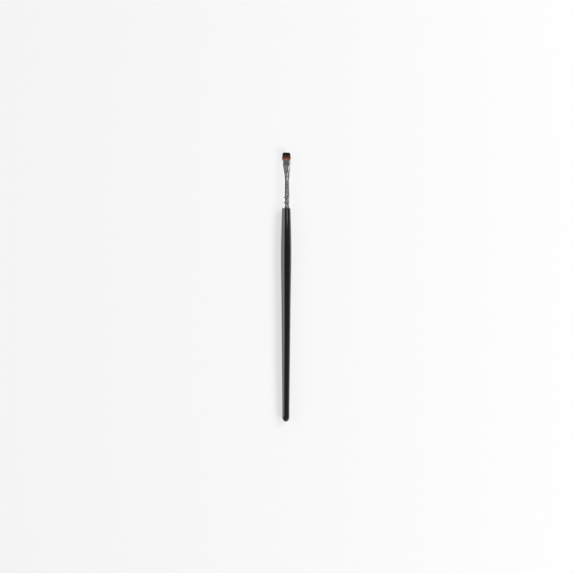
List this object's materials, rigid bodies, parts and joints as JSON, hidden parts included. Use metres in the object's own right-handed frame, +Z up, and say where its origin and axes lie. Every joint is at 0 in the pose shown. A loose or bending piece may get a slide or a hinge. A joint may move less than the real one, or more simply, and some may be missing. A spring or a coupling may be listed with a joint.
{
  "type": "eyeshadow brush",
  "caption": "Small flat eyeshadow brush: short two-tone tuft in a crimped, flattened metal ferrule on a slender gloss-black lacquered wooden handle.",
  "frame": {"origin": "middle of the brush's length, on the surface that it lies on, under its axis", "axes": "+Y along the brush from the tail to the tuft, +X across the flat of the tuft, +Z up from the surface that it lies on"},
  "size_m": [0.0066, 0.17, 0.0067],
  "materials": {
    "handle_wood": "turned pale hardwood, sealed under the lacquer",
    "black_lacquer": "high-gloss black lacquer",
    "glue": "cured glue film",
    "plated_metal": "polished nickel-like plating",
    "epoxy": "cured amber binder",
    "fibre": "fine fibres, copper-brown at the root and black-brown at the tip"
  },
  "bodies": {
    "root": {"handle_core": "handle_wood", "handle_lacquer": "black_lacquer", "tenon_glue": "glue", "ferrule": "plated_metal", "epoxy_plug": "epoxy", "bristle_tuft": "fibre"}
  },
  "joints": []
}
